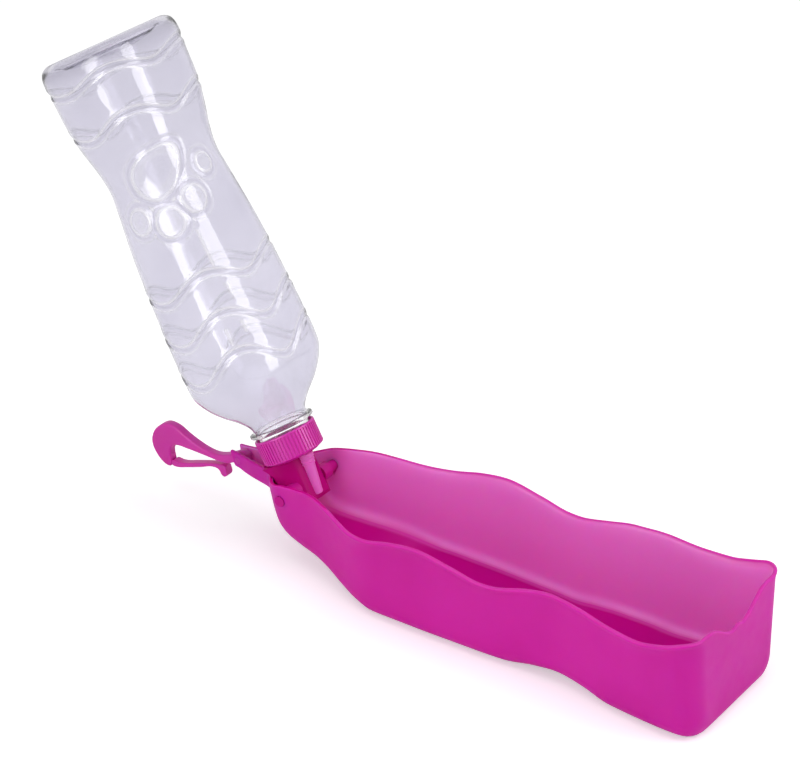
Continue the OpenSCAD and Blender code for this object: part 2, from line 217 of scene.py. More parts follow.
def maths(tree, operation, *numbers, clamp=False):
    node = add_node(tree, "Math", dict(enumerate(numbers)), operation=operation, use_clamp=clamp)
    return node.outputs[0]


def rays(tree, *kinds):
    """1 for the kinds of ray that are named, 0 for all others."""
    path = add_node(tree, "LightPath", {})
    asked = path.outputs[kinds[0]]
    for kind in kinds[1:]:
        asked = maths(tree, "MAXIMUM", asked, path.outputs[kind])
    return asked


# %% [markdown]
# The studio is a white table and a white sky. Whiteness seen by the camera, by gloss and
# through the clear bottle comes from the colour of the sky, not from stronger lamps, so the
# plastic keeps its own colour. Light has to pass many walls of the bottle, so it may bounce
# often.

# %% Studio sky
SKY_FILL, SKY_SEEN = 0.38, 1.0
scene = bpy.context.scene
scene.view_settings.view_transform = "Standard"
scene.cycles.max_bounces = 24
scene.cycles.transmission_bounces = 24
scene.cycles.glossy_bounces = 10
world = bpy.data.worlds.new("studio")
scene.world = world
world.use_nodes = True
sky = world.node_tree
sky.nodes.clear()
fill, seen = [add_node(sky, "Background", {"Color": (1, 1, 1, 1), "Strength": strength})
              for strength in (SKY_FILL, SKY_SEEN)]
sky_asked = rays(sky, "Is Camera Ray", "Is Transmission Ray", "Is Glossy Ray")
sky_mix = add_node(sky, "MixShader", {"Fac": sky_asked, 1: fill.outputs[0], 2: seen.outputs[0]})
add_node(sky, "OutputWorld", {"Surface": sky_mix.outputs[0]})

# %% Studio floor
FLOOR_WHITE, FLOOR_GLOW = 0.9, 0.42
nothing()
bpy.ops.mesh.primitive_plane_add(size=14, location=(0, 0, -0.0004))
floor = bpy.context.active_object
floor.name = "studio_floor"
floor_mat = bpy.data.materials.new("studio_floor")
floor_mat.use_nodes = True
table = floor_mat.node_tree
table.nodes.clear()
paint = add_node(table, "BsdfDiffuse", {"Color": (FLOOR_WHITE, FLOOR_WHITE, FLOOR_WHITE, 1)})
table_asked = rays(table, "Is Camera Ray", "Is Transmission Ray")
glow = add_node(table, "Emission", {"Strength": maths(table, "MULTIPLY", table_asked, FLOOR_GLOW)})
both = add_node(table, "AddShader", {0: paint.outputs[0], 1: glow.outputs[0]})
add_node(table, "OutputMaterial", {"Surface": both.outputs[0]})
floor.data.materials.append(floor_mat)

# %% [markdown]
# The lamps are soft boxes, as in a real studio: a tall one on each side and a wide one
# overhead. Two more stand where the bottle's two long bands of light come from. They show in
# gloss alone, so that the bands are strong and the dyed plastic gets no more light from them.

# %% Lamps
LAMPS_LOOK_AT = Vector((-0.06, 0.0, 0.09))


def soft_box(name, toward, distance, width, height, power, gloss_only=False):
    """A lamp that looks at the object from a distance. Metres and watts."""
    lamp = bpy.data.lights.new(name, "AREA")
    lamp.shape = "RECTANGLE"
    lamp.size = width
    lamp.size_y = height
    lamp.energy = power
    obj = bpy.data.objects.new(name, lamp)
    bpy.context.scene.collection.objects.link(obj)
    d = Vector(toward).normalized()
    obj.location = LAMPS_LOOK_AT + d * distance
    obj.rotation_euler = (-d).to_track_quat("-Z", "Y").to_euler()
    obj.visible_diffuse = not gloss_only
    obj.visible_transmission = not gloss_only
    print(name, "stands at", tuple(round(v, 2) for v in obj.location))


soft_box("left_band", (-0.13, -1.0, 0.30), 1.45, 0.95, 1.5, 13, gloss_only=True)
soft_box("right_band", (0.83, 0.33, 0.50), 1.55, 1.0, 1.5, 11, gloss_only=True)
soft_box("left_box", (-0.08, -1.0, 0.30), 1.5, 0.55, 1.3, 7)
soft_box("right_box", (0.81, 0.33, 0.50), 1.6, 0.9, 1.3, 8)
soft_box("top_box", (0.05, -0.1, 1.0), 1.6, 1.8, 1.4, 11)

# %% [markdown]
# The colours. Dyed see-through plastic is never one flat colour: its tone wanders a little, and
# its surface has the fine grain of the steel mould. Each finish therefore mixes two close shades
# with soft noise, lets some light scatter inside, and takes its grain from a fine bump. The trough
# and the cap also get painted light and painted shade: paler where light would come through
# from behind, deeper where they stand in shade, and their gloss follows the same number.

# %% Helpers for finishes


def new_finish(name):
    mat = bpy.data.materials.new(name)
    mat.use_nodes = True
    tree = mat.node_tree
    where = add_node(tree, "TexCoord", {}).outputs["Object"]
    return mat, tree, tree.nodes["Principled BSDF"], where


def noise(tree, where, scale, detail):
    inputs = {"Scale": scale, "Detail": detail, "Vector": where}
    return add_node(tree, "TexNoise", inputs).outputs["Fac"]


def two_shades(tree, amount, first, first_colour, last, last_colour):
    """A ramp from one colour to another, as the amount goes from first to last."""
    ramp = add_node(tree, "ValToRGB", {"Fac": amount})
    ends = ramp.color_ramp.elements
    ends[0].position, ends[0].color = first, (*first_colour, 1)
    ends[1].position, ends[1].color = last, (*last_colour, 1)
    return ramp


def spread(tree, amount, start, end, low, high):
    """Low to high, as the amount goes from start to end."""
    inputs = {"Value": amount, "From Min": start, "From Max": end, "To Min": low, "To Max": high}
    return add_node(tree, "MapRange", inputs).outputs["Result"]


def mixed(tree, share, colour, other):
    inputs = {"Factor": share, "A": colour, "B": other}
    return add_node(tree, "Mix", inputs, data_type="RGBA").outputs["Result"]


def marked(tree, name):
    """The number that a piece's points carry under this name."""
    return add_node(tree, "Attribute", {}, attribute_name=name).outputs["Fac"]


def bumps(tree, height, strength, distance):
    inputs = {"Strength": strength, "Distance": distance, "Height": height}
    return add_node(tree, "Bump", inputs).outputs["Normal"]


# %% Finish of dyed plastic
CLOUDS, PORES, WEAR = 18, 2600, 140
PORE_DEPTH = 0.0004
LEAST_GLOSS = 0.04


def dyed(name, deep, pale, rough, scatter, radius, grain=0.035, shine=0.5, painted_shade_and_light=None):
    """Dyed plastic. The last argument, if given, holds a painted shade colour and a painted light
    colour.
    """
    mat, tree, shader, where = new_finish(name)
    ramp = two_shades(tree, noise(tree, where, CLOUDS, 3), 0.36, deep, 0.66, pale)
    colour = ramp.outputs["Color"]
    wear = noise(tree, where, WEAR, 5)
    feed(tree, shader, {
        "Roughness": spread(tree, wear, 0.3, 0.7, rough - 0.04, rough + 0.06),
        "Normal": bumps(tree, noise(tree, where, PORES, 2), grain, PORE_DEPTH),
        "IOR": 1.49, "Specular IOR Level": shine, "Subsurface Weight": scatter,
        "Subsurface Radius": radius, "Subsurface Scale": 1.0})
    # Painted light and painted shade: a number on each point, 1 for painted light and 0 for
    # painted shade, picks between the two painted colours, and the gloss follows it.
    if painted_shade_and_light:
        through = marked(tree, "painted_light_and_shade")
        shade = two_shades(tree, through, 0.0, painted_shade_and_light[0], 1.0, painted_shade_and_light[1])
        from_middle = maths(tree, "ABSOLUTE", maths(tree, "SUBTRACT", through, 0.5))
        share = maths(tree, "MULTIPLY", from_middle, 2.0, clamp=True)
        colour = mixed(tree, share, colour, shade.outputs["Color"])
        gloss = spread(tree, through, 0.0, 1.0, LEAST_GLOSS, 2 * shine - LEAST_GLOSS)
        feed(tree, shader, {"Specular IOR Level": gloss})
    feed(tree, shader, {"Base Color": colour})
    return mat


# The last two colours of the trough and of the cap are a painted shade colour and a painted light
# colour.
trough_mat = dyed(
    "trough_magenta", (0.57, 0.003, 0.345), (0.62, 0.008, 0.395), 0.42, 0.75,
    (0.006, 0.0012, 0.0032), shine=0.2, painted_shade_and_light=((0.50, 0.001, 0.23), (0.85, 0.21, 0.68)))
cap_mat = dyed(
    "cap_magenta", (0.62, 0.003, 0.36), (0.68, 0.010, 0.42), 0.34, 0.2,
    (0.003, 0.0004, 0.0014), shine=0.36, painted_shade_and_light=((0.48, 0.0006, 0.19), (0.92, 0.06, 0.62)))
hook_mat = dyed(
    "hook_magenta", (0.62, 0.022, 0.36), (0.67, 0.032, 0.41), 0.38, 0.5,
    (0.005, 0.001, 0.0026), shine=0.35)
# The nozzle is a paler pink than the cap, partly its own colour and partly painted light that
# makes up for the shade it stands in.
nozzle_mat = dyed(
    "nozzle_pink", (0.93, 0.15, 0.62), (0.97, 0.18, 0.68), 0.34, 0.5, (0.005, 0.0014, 0.003))
liner_mat = dyed(
    "liner_foam", (0.78, 0.78, 0.76), (0.86, 0.86, 0.85), 0.7, 0.1, (0.001, 0.001, 0.001),
    grain=0.3)

# %% [markdown]
# Clear plastic shows its reliefs by bright and dark lines, where a curved wall gathers or
# loses light. Here those lines are painted: the points carry a number, 1 on a painted highlight
# line, -1 on a painted shade line, 0 on plain wall. A painted highlight line is also a little
# hazy. The neck is 2, painted bright but clear.

# %% Finish of the clear bottle
# Painted highlight colour and painted shade colour for the lines of the reliefs.
PAINTED_HIGHLIGHT, PAINTED_SHADE = (1.0, 1.0, 1.0, 1), (0.50, 0.485, 0.56, 1)
LINE_SHARE = 0.8


def clear_plastic(name):
    mat, tree, shader, where = new_finish(name)
    tint = two_shades(tree, noise(tree, where, 26, 3),
                      0.3, (0.745, 0.732, 0.803), 0.7, (0.797, 0.785, 0.848))
    painted_line = marked(tree, "painted_line")
    colour = tint.outputs["Color"]
    for full, shade in ((1, PAINTED_HIGHLIGHT), (-1, PAINTED_SHADE)):
        colour = mixed(tree, spread(tree, painted_line, 0, full, 0, LINE_SHARE), colour, shade)
    half = maths(tree, "MULTIPLY", painted_line, 0.5)
    haze = two_shades(tree, half, 0.0, (1, 1, 1), 1.0, (1, 1, 1))
    haze.color_ramp.elements.new(0.5).color = (0.5, 0.5, 0.5, 1)
    feed(tree, shader, {
        "Base Color": colour, "Transmission Weight": haze.outputs["Color"],
        "Normal": bumps(tree, noise(tree, where, 60, 2), 0.05, 0.002),
        "Roughness": 0.06, "IOR": 1.5})
    return mat


bottle_mat = clear_plastic("clear_bottle")

# %% [markdown]
# The trough is one thin moulding, a boat shape that narrows to a tongue behind the hinge. Its
# wall is the same thickness everywhere, so it can be made like pressed sheet: a flat grid is
# bent into the outer skin, the far end is closed by drawing the last row inward, and one
# Solidify gives the wall. The rows below say how wide and how high the skin is along its length.

# %% Shape of the trough along its length
WALL = 1.9
TONGUE, END = -44, 226.9
CORNER, FOOT = 11.0, 6
DIP, LOBE = 9.0, 1.1
LIP_HIGH, LIP_SHARE = 3.4, 0.36
PLACE, RIM_WIDE, RIM_HIGH, FLOOR_WIDE, FLOOR_HIGH, ROUND, LIP = range(7)
ROWS = [
    # place, rim half width, rim height, floor half width, floor height, floor round, rim lip
    (-44, 4.5, 4.8, 3.9, -3.8, 2, 0.1), (-36, 5.6, 4.8, 4.9, -4.7, 2.2, 0.1),
    (-24, 8, 4.8, 7.2, -5.1, 2.6, 0.2), (-17, 9.6, 4.9, 9, -5.2, 3, 0.2),
    (-14, 11.6, 5, 10.6, -5.5, 3.6, 0.3), (-11, 15.8, 5.3, 12.6, -8.2, 5, 0.4),
    (-7, 20, 6, 15.2, -14, 7, 0.5), (-3, 22.2, 7.2, 17.4, -19, 8.6, 0.5),
    (2, 23, 8.6, 19, -22, 9, 0.5), (10, 24.2, 10, 20.6, -23.9, 9, 0.6),
    (20, 26.1, 11, 23, -25.1, 9, 0.8), (30, 29.5, 9.8, 26.2, -26.7, 8.5, 1),
    (40, 33.6, 7.8, 29.8, -29.2, 8, 1.2), (49, 37, 6.8, 32.4, -31.8, 8, 1.3),
    (59, 39, 7.6, 34.2, -33.6, 8, 1.3), (72, 39.2, 10.8, 34.4, -33.6, 8, 1.4),
    (86, 39.1, 12.6, 34.4, -33.6, 8, 1.4), (104, 38.7, 9.9, 33.8, -33.6, 8, 1.3),
    (120, 38.2, 7, 33.2, -33.6, 8, 1.3), (128, 37.5, 7.6, 32.6, -33.6, 8, 1.2),
    (142, 36.2, 11.4, 31.4, -31.6, 8, 1.1), (155, 36.7, 13.8, 30.8, -30.4, 8, 1.1),
    (169, 38.7, 13.5, 32.4, -31.4, 8, 1.2), (184, 40.6, 11.3, 35, -33.6, 8, 1.4),
    (199, 42.4, 10.6, 36.6, -33.6, 8, 1.6), (212, 42.8, 13, 37.4, -33.6, 8, 1.8),
    (222, 42.4, 15.9, 37.4, -33.6, 8, 2), (232, 42.4, 16.3, 37.4, -33.6, 8, 2)]


def ease(t, a, b):
    """0 before a, 1 after b, and a soft step between them."""
    u = min(1.0, max(0.0, (t - a) / (b - a)))
    return u * u * (3 - 2 * u)


def row_slope(i, k):
    if i == 0 or i == len(ROWS) - 1:
        return 0.0
    if (ROWS[i + 1][k] - ROWS[i][k]) * (ROWS[i][k] - ROWS[i - 1][k]) <= 0:
        return 0.0
    return (ROWS[i + 1][k] - ROWS[i - 1][k]) / (ROWS[i + 1][PLACE] - ROWS[i - 1][PLACE])


def along(t, k):
    """Column k of the rows at t, on a smooth curve that doesn't swing past them."""
    i = max(j for j in range(len(ROWS) - 1) if j == 0 or ROWS[j][PLACE] < t)
    h = ROWS[i + 1][PLACE] - ROWS[i][PLACE]
    u = (t - ROWS[i][PLACE]) / h
    m, n = row_slope(i, k) * h, row_slope(i + 1, k) * h
    return (ROWS[i][k] * (1 + 2 * u) * (1 - u) ** 2 + m * u * (1 - u) ** 2
            + ROWS[i + 1][k] * u * u * (3 - 2 * u) + n * u * u * (u - 1))


SIDE_STEPS, ROUND_STEPS, FLAT_STEPS = 7, 8, 6
HALF = SIDE_STEPS + ROUND_STEPS + FLAT_STEPS


def half_section(t):
    """Half of the outer skin at t from the rim to the middle of the floor, as (y, z)."""
    u = max(0.0, t - (END - CORNER))
    pull = CORNER - math.sqrt(max(0.0, CORNER ** 2 - u * u))
    v = max(0.0, t - (END - FOOT))
    lift = FOOT - math.sqrt(max(0.0, FOOT ** 2 - v * v))
    zr, lip = along(t, RIM_HIGH), along(t, LIP)
    wt, wb = along(t, RIM_WIDE) - pull, along(t, FLOOR_WIDE) - pull
    zb = along(t, FLOOR_HIGH) + lift
    r = min(max(0.4, along(t, ROUND)), wb * 0.8)
    px, pz = wt - lip, zr - LIP_HIGH
    dx, dz = wb - px, zb - pz
    n = math.hypot(dx, dz)
    dx, dz = dx / n, dz / n
    run = r / math.tan(math.acos(dx) / 2)
    turn = math.atan2(dx, -dz)
    pts = []
    for i in range(SIDE_STEPS):
        s = i / SIDE_STEPS
        if s < LIP_SHARE:
            k = s / LIP_SHARE
            flare = lip * (1 - k) ** 1.7
            pts.append((px + flare, zr - LIP_HIGH * k))
        else:
            k = (s - LIP_SHARE) / (1 - LIP_SHARE) * (n - run)
            pts.append((px + dx * k, pz + dz * k))
    for i in range(ROUND_STEPS + 1):
        g = turn + (-math.pi / 2 - turn) * i / ROUND_STEPS
        pts.append((wb - run + r * math.cos(g), zb + r + r * math.sin(g)))
    for i in range(1, FLAT_STEPS):
        pts.append(((wb - run) * (1 - i / FLAT_STEPS), zb))
    pts.append((0.0, zb))
    return pts


TIP_IN, TIP_LEAN, END_LEAN = 4.2, 0.32, 0.05


def trough_point(t, y, z):
    """Point of the skin. The tongue's tip leans back, and the end wall leans a little."""
    tip_lean = TIP_LEAN * max(0.0, min(1.0, (-24 - t) / 20))
    return at_hinge(t + TIP_IN - TIP_IN * ease(t, TONGUE, -26) - tip_lean * (z + 3.8)
                    - END_LEAN * z * ease(t, END - 40, END - CORNER), y, z)


# %% Bend the sheet
NEAR_HINGE, SHORT, LONG = 8, 1.5, 2.6
stations = []
t = float(TONGUE)
while t < END - CORNER - 0.5:
    stations.append(t)
    t += SHORT if t < NEAR_HINGE else LONG
stations += [END - CORNER + CORNER * math.sin(math.radians(a)) for a in range(0, 91, 9)]
print("trough stations:", len(stations))

nothing()
bpy.ops.mesh.primitive_grid_add(
    x_subdivisions=len(stations) - 1, y_subdivisions=2 * HALF, size=2)
trough = bpy.context.active_object
trough.name = "trough_shell"
sections = [half_section(t) for t in stations]
for v in trough.data.vertices:
    i = round((v.co.x + 1) / 2 * (len(stations) - 1))
    j = round((v.co.y + 1) / 2 * 2 * HALF)
    y, z = sections[i][j] if j <= HALF else sections[i][2 * HALF - j]
    v.co = trough_point(stations[i], -y if j <= HALF else y, z)

# %% [markdown]
# The far end is a flat wall with a dipped rim. The last row of the sheet is extruded edge by
# edge, and each new row is moved a step closer to the middle line of the wall, until both
# halves meet there and are merged.

# %% Close the far end
END_STEPS = 22
last = sections[-1]
rim_z, low_z = last[0][1], last[-1][1]
lengths = [0.0]
for a, b in zip(last, last[1:]):
    lengths.append(lengths[-1] + math.hypot(b[0] - a[0], b[1] - a[1]))


def end_point(j, s):
    """Place on the end wall: column j of the half section, share s of the way to the middle."""
    y, z = last[j]
    top = rim_z - DIP * (1 - ease(1 - s, 0.12, 0.8)) + LOBE * ease(s, 0.88, 0.97)
    up_start = (z - low_z) / (rim_z - low_z)
    up_end = 1 - lengths[j] / lengths[-1]
    up = up_start + (up_end - up_start) * ease(s, 0, 1) ** 0.8
    return y * (1 - s), low_z + (top - low_z) * up


points = trough.data.vertices
last_ids = []
for j in range(2 * HALF + 1):
    y, z = last[j] if j <= HALF else last[2 * HALF - j]
    want = trough_point(END, -y if j <= HALF else y, z)
    last_ids.append(min(range(len(points)), key=lambda i: (points[i].co - want).length))
for step in range(1, END_STEPS + 1):
    only(trough)
    bpy.ops.object.mode_set(mode="EDIT")
    bpy.ops.mesh.select_mode(type="VERT")
    bpy.ops.mesh.select_all(action="DESELECT")
    leave()
    before = len(trough.data.vertices)
    chosen = set(last_ids)
    for i in last_ids:
        trough.data.vertices[i].select = True
    for e in trough.data.edges:
        e.select = e.vertices[0] in chosen and e.vertices[1] in chosen
    bpy.ops.object.mode_set(mode="EDIT")
    bpy.ops.mesh.select_mode(type="EDGE")
    bpy.ops.mesh.extrude_edges_move(TRANSFORM_OT_translate={"value": (0, 0, 0)})
    leave()
    s = step / END_STEPS
    fresh = range(before, len(trough.data.vertices))
    points = trough.data.vertices
    at_place = {tuple(round(c, 6) for c in points[i].co): i for i in fresh}
    new_ids = [at_place[tuple(round(c, 6) for c in points[old].co)] for old in last_ids]
    for j, i in enumerate(new_ids):
        y, z = end_point(j if j <= HALF else 2 * HALF - j, s)
        points[i].co = trough_point(END, -y if j <= HALF else y, z)
    last_ids = new_ids
tidy_shell(trough, 2e-5)
print("sheet of the trough:", len(trough.data.polygons), "faces")

# %% Check which way the sheet faces, then give it its wall and round its rim
RIM_LOW, RIM_ROUND = 27.5, 0.0007
floor_face = max(trough.data.polygons, key=lambda f: -f.center.z)
if floor_face.normal.z > 0:
    pick(trough, faces=lambda f: True)
    bpy.ops.mesh.flip_normals()
    leave()
modify(trough, "SOLIDIFY", thickness=WALL / 1000, offset=-1, use_even_offset=False, use_rim=True)
only(trough)
bpy.ops.object.mode_set(mode="EDIT")
bpy.ops.mesh.select_mode(type="EDGE")
bpy.ops.mesh.select_all(action="DESELECT")
bpy.ops.mesh.edges_select_sharp(sharpness=math.radians(60))
leave()
for e in trough.data.edges:
    if min(trough.data.vertices[i].co.z for i in e.vertices) < RIM_LOW / 1000:
        e.select = False
bpy.ops.object.mode_set(mode="EDIT")
bpy.ops.mesh.bevel(offset=RIM_ROUND, segments=3)
leave()
print("trough box (mm):", [round(v * 1000, 1) for v in trough.dimensions])

# %% [markdown]
# Now the openings are cut through the finished wall: the pin bores through both cheeks, the
# small bores for the hook's trunnions, and the open slot between the two prongs of the tongue,
# where the hook swings.

# %% Cut the bores and the slot
TRUNNION_AT = at_hinge(-37.6, 0, 0.7)
SLOT_AT, SLOT_SIZE = at_hinge(-43.25, 0, 0), (0.02, 0.0057, 0.024, 1)


def round_bar(name, radius, length, centre, sides=64):
    nothing()
    bpy.ops.mesh.primitive_cylinder_add(vertices=sides, radius=radius / 1000, depth=length / 1000)
    bar = bpy.context.active_object
    bar.name = name
    place(bar, Matrix.Translation(centre) @ Matrix.Rotation(math.pi / 2, 4, "X"))
    return bar


def cut(obj, tool):
    modify(obj, "BOOLEAN", operation="DIFFERENCE", object=tool, solver="EXACT")
    bpy.data.objects.remove(tool)


cut(trough, round_bar("pin_bore", 2.7, 60, at_hinge(0, 0, 0)))
cut(trough, round_bar("trunnion_bore", 1.6, 20, TRUNNION_AT))
nothing()
bpy.ops.mesh.primitive_cube_add(size=1)
slot = bpy.context.active_object
place(slot, Matrix.Translation(SLOT_AT) @ Matrix.Diagonal(SLOT_SIZE))
cut(trough, slot)
smooth(trough, 40)

# %% [markdown]
# Painted light and painted shade. Seen from above, the inside walls are painted paler than the
# outside, as if light shone through them from behind, and the floor inside is painted the
# deepest colour, as shade with the table behind it. The rim is painted a little deeper too, as
# shade. One number per point says which is which: 1 painted light, 0 painted shade, 0.5 neither.

# %% Mark where light and shade are painted
values = []
for v in trough.data.vertices:
    n, c = v.normal, v.co * 1000
    inward = max(-n.y * (1 if c.y > 0 else -1) * (abs(c.y) > 2), -n.x * (c.x > 110))
    wall_painted_light = ease(inward, 0.25, 0.8)
    floor_painted_shade = ease(n.z, 0.8, 0.99) * (c.z < 12 or c.x < -60) * (c.x > -110)
    rim_painted_shade = ease(n.z, 0.35, 0.85) * ease(c.z, RIM_LOW, 29) * (c.x > -100)
    values.append(0.5 + 0.5 * wall_painted_light * (1 - rim_painted_shade) - 0.5 * floor_painted_shade * (1 - wall_painted_light)
                  - 0.22 * rim_painted_shade)
mark(trough, "painted_light_and_shade", values)
seat(trough, "trough", "trough_plastic", trough_mat, "trough")

# %% [markdown]
# The bottle is blown: one thin skin, pressed into a mould that gives it wavy grooves, a paw
# print and a waist for the hand. It starts as a grid that is rolled up, with rows that lie
# closer together where a relief needs them. Light is bent at both faces of a real wall, so the
# skin is made twice, outside and inside, and the two are closed at the neck.

# %% Outline of the bottle
LENGTH = 223.4
PROFILE = [
    # half width, height
    (12.9, 30.95), (13.3, 32.4), (14.6, 35.2), (18.3, 39.5), (23.1, 44), (27.1, 48.8),
    (30.0, 53.5), (31.8, 58), (32.3, 65), (32.2, 76), (32.0, 86), (31.5, 96), (31.1, 105),
    (30.6, 114), (30.0, 123), (29.2, 132), (28.2, 141), (27.2, 150), (26.4, 159), (27.4, 168.5),
    (29.4, 177.5), (31.3, 187), (32.2, 196), (32.5, 205), (33.0, LENGTH - 10.5),
    (33.1, LENGTH - 7.5), (32.7, LENGTH - 4.4), (31.4, LENGTH - 1.9), (29.0, LENGTH - 0.4),
    (26.4, LENGTH), (24.2, LENGTH - 0.6), (21.0, LENGTH - 3.2), (14.0, LENGTH - 5.2),
    (6.0, LENGTH - 6), (0.0, LENGTH - 6.2)]


def box_radius(hw, hd, r, p):
    """How far a rounded box reaches at angle p: half width hw, half depth hd, corner r."""
    c, s = max(1e-4, abs(math.cos(p))), max(1e-4, abs(math.sin(p)))
    cx, cy = hw - r, hd - r
    if hw / c * s <= cy:
        return hw / c
    if hd / s * c <= cx:
        return hd / s
    q = c * cx + s * cy
    return q + math.sqrt(max(0.0, q * q - (cx * cx + cy * cy - r * r)))


def profile_at(q):
    """Point of the profile at q, counted in its own steps, on a smooth curve through them."""
    i = min(len(PROFILE) - 2, max(0, int(q)))
    u = q - i
    a, b = PROFILE[max(0, i - 1)], PROFILE[i]
    c, d = PROFILE[i + 1], PROFILE[min(len(PROFILE) - 1, i + 2)]
    return tuple(0.5 * (2 * b[k] + (c[k] - a[k]) * u
                        + (2 * a[k] - 5 * b[k] + 4 * c[k] - d[k]) * u * u
                        + (3 * b[k] - a[k] - 3 * c[k] + d[k]) * u ** 3) for k in (0, 1))


# %% [markdown]
# The reliefs are heights added to the skin. Each groove is a wave round the bottle with four
# crests. The paw print is a raised egg with four round toes, and a few short raised dashes
# stand between the grooves. Angles count round the bottle from its side, heights from the hinge.
# The same numbers say where a relief gets a painted highlight line or a painted shade line.

# %% Reliefs of the bottle
GROOVES = [  # height, swing, depth
    (209.2, 2.7, 0.62), (187.1, 3.5, 0.7), (106.9, 3.9, 0.75), (86.7, 5.0, 0.75),
    (67.6, 5.6, 0.75)]
CREST = math.radians(142)
PAD_AT, PAD_TILT = (141, 161.5), math.radians(34)
PAD_LONG, PAD_WIDE = 13.6, 9.6
# angle, height, radius of each toe, then angle, start and end of each dash
TOES = [(84, 156, 4.6), (119, 143.5, 6.2), (149, 138, 6.8), (180, 143, 6.0)]
DASHES = [(127, 97.2, 103.6), (129, 79.3, 85.3), (143, 76.1, 84.6), (130.5, 112.5, 130.5)]
BODY_LOW, BODY_HIGH = 57, LENGTH - 4


def hump(d, w):
    """1 in the middle, and soft to 0 over the width w."""
    return math.exp(-(d / w) ** 2)


def step_up(d, w):
    """0 outside, 1 inside, soft over the width w."""
    return ease(-d, -w, w)


def relief(p, b, radius):
    """Height of the relief at angle p and height b in millimetres, and its line's painted
    highlight or shade.
    """
    out = line = 0.0
    for mid, swing, deep in GROOVES:
        d = b - mid - swing * math.cos(4 * (p - CREST))
        if abs(d) < 6:
            out += -deep * hump(d, 1.15) + 0.28 * deep * (hump(d - 2.3, 1.0) + hump(d + 2.3, 1.0))
            line += 0.9 * hump(d - 1.7, 0.8) + 0.65 * hump(d + 1.7, 0.8) - 0.75 * hump(d, 0.9)
    if 126 < b < 180:
        deg = math.degrees(p)
        mm = math.radians(1) * radius
        dx, dy = (deg - PAD_AT[0]) * mm, b - PAD_AT[1]
        ex = dx * math.cos(PAD_TILT) - dy * math.sin(PAD_TILT)
        ey = dx * math.sin(PAD_TILT) + dy * math.cos(PAD_TILT)
        egg = math.hypot(ex / PAD_LONG, ey / (PAD_WIDE * (1 + 0.018 * ex)))
        edges = [((egg - 1) * 10.5, 1.0)]
        edges += [(math.hypot((deg - a) * mm, b - h) - r, 0.9) for a, h, r in TOES]
        for d, high in edges:
            if d < 5:
                out += high * (step_up(d, 1.4) + 0.45 * hump(d, 1.1) - 0.33 * hump(d - 2.5, 1.1))
                line += 0.9 * hump(d, 0.95) - 0.6 * hump(d - 1.9, 0.9) + 0.5 * hump(d - 3.4, 0.8)
                line += 0.35 * hump(d + 3.2, 1.3)
    for a, b0, b1 in DASHES:
        if b0 - 2 < b < b1 + 2:
            d = (math.degrees(p) - a) * math.radians(1) * radius
            ends = ease(b, b0 - 0.6, b0 + 0.6) * (1 - ease(b, b1 - 0.6, b1 + 0.6))
            out += 0.45 * hump(d, 0.8) * ends
            line += 0.9 * hump(d, 0.9) * ends
    return out, max(-1.0, min(1.0, line))


# %% Roll up the skin
rows = []
q = 0.0
while q < len(PROFILE) - 1:
    rows.append(q)
    lat, b = profile_at(q)
    l2, b2 = profile_at(min(q + 0.05, len(PROFILE) - 1))
    run = math.hypot(l2 - lat, b2 - b) / 0.05
    near_groove = any(abs(b - g[0]) < g[1] + 3.4 for g in GROOVES) and b < 215
    near_paw, near_end = 128 < b < 176, lat < 29 or b > 214
    q += (0.75 if near_groove else 0.95 if near_paw else 1.1 if near_end else 2.0) / run
rows.append(len(PROFILE) - 1.0)
AROUND = 168
INNER_WALL, INNER_SHARE = 0.55, 0.7
SHOULDER_LOW = 32
FULL, HALF_WIDE, HALF_DEEP, BODY_ROUND = 33.2, 32, 27.5, 21
print("bottle rows:", len(rows))


def skin_point(q, p, wall, share):
    """Point of the skin, drawn in by the wall, with its share of the relief.

    The neck is round and the body is a rounded box, and the shoulder goes from one to the other.
    """
    lat, b = profile_at(q)
    m = ease(b, SHOULDER_LOW, BODY_LOW)
    k = lat / FULL
    hw = HALF_WIDE * k * m + lat * (1 - m)
    hd = HALF_DEEP * k * m + lat * (1 - m)
    r = BODY_ROUND * k * m + 0.98 * lat * (1 - m)
    radius = box_radius(hw, hd, r, p)
    if BODY_LOW < b < BODY_HIGH:
        radius += share * relief(p % (2 * math.pi), b, radius)[0]
    thick = wall * (1 + 0.8 * ease(b, LENGTH - 16, LENGTH - 2))
    radius -= thick * ease(radius, 0, 8)
    return at_bottle(radius * math.sin(p), radius * math.cos(p),
                     b - thick * ease(b, LENGTH - 8, LENGTH - 1))


def skin(name, wall, share):
    nothing()
    bpy.ops.mesh.primitive_grid_add(
        x_subdivisions=AROUND, y_subdivisions=len(rows) - 1, size=2)
    sheet = bpy.context.active_object
    sheet.name = name
    for v in sheet.data.vertices:
        i = round((v.co.x + 1) / 2 * AROUND)
        j = round((v.co.y + 1) / 2 * (len(rows) - 1))
        v.co = skin_point(rows[j], 2 * math.pi * (i % AROUND) / AROUND, wall, share)
    tidy_shell(sheet, 1e-6)
    return sheet


def paint_relief_lines(obj):
    """Paints a highlight on the crests of the reliefs and shade in their valleys, and greys the
    base.
    """
    values = []
    for v in obj.data.vertices:
        x, y, b = TO_BOTTLE @ v.co * 1000
        p = math.atan2(x, y) % (2 * math.pi)
        line = relief(p, b, math.hypot(x, y))[1] if BODY_LOW < b < BODY_HIGH else 0.0
        values.append(line - 0.55 * ease(b, LENGTH - 13, LENGTH - 5))
    mark(obj, "painted_line", values)


